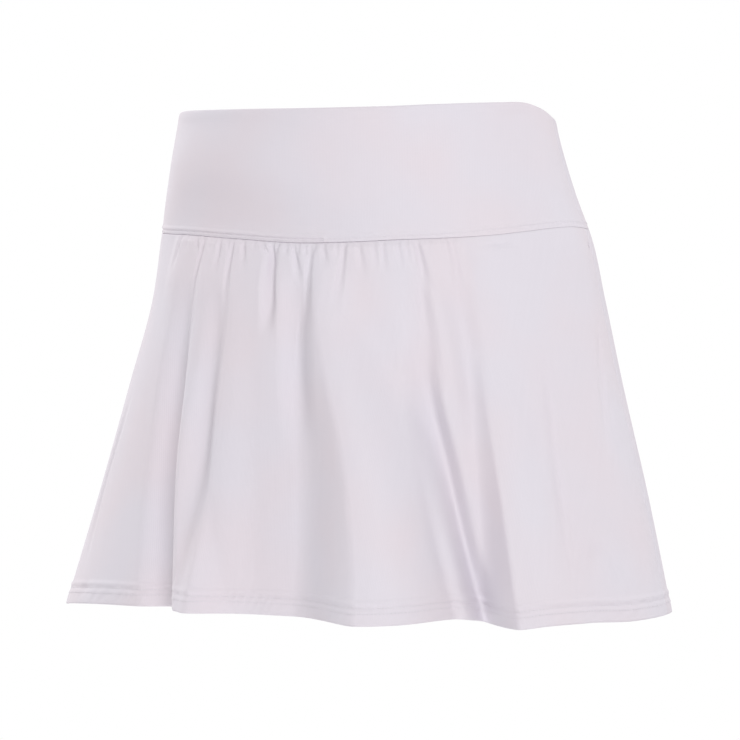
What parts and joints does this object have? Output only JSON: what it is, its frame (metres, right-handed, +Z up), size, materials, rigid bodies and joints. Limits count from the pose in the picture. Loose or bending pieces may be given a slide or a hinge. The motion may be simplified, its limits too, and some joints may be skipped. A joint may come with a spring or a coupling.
{
  "type": "tennis skirt",
  "caption": "Short flared tennis skirt in pale lilac knit, with a deep flat waistband, fine gathers below the waist seam, soft hanging folds and a narrow stitched hem.",
  "frame": {"origin": "middle of the waist opening, at the height of the waist edge", "axes": "+Z up out of the waist along the wearer's body, +X to the wearer's left, +Y to the wearer's back, so the front faces -Y"},
  "size_m": [0.4391, 0.3982, 0.3527],
  "materials": {
    "waistband_knit": "smooth doubled jersey, pale lilac white, matt with a faint sheen",
    "skirt_knit": "light knit with fine upright ribs of stitches, pale lilac white, matt"
  },
  "bodies": {
    "root": {"waistband_front": "waistband_knit", "waistband_back": "waistband_knit", "skirt_front": "skirt_knit", "skirt_back": "skirt_knit"}
  },
  "joints": []
}
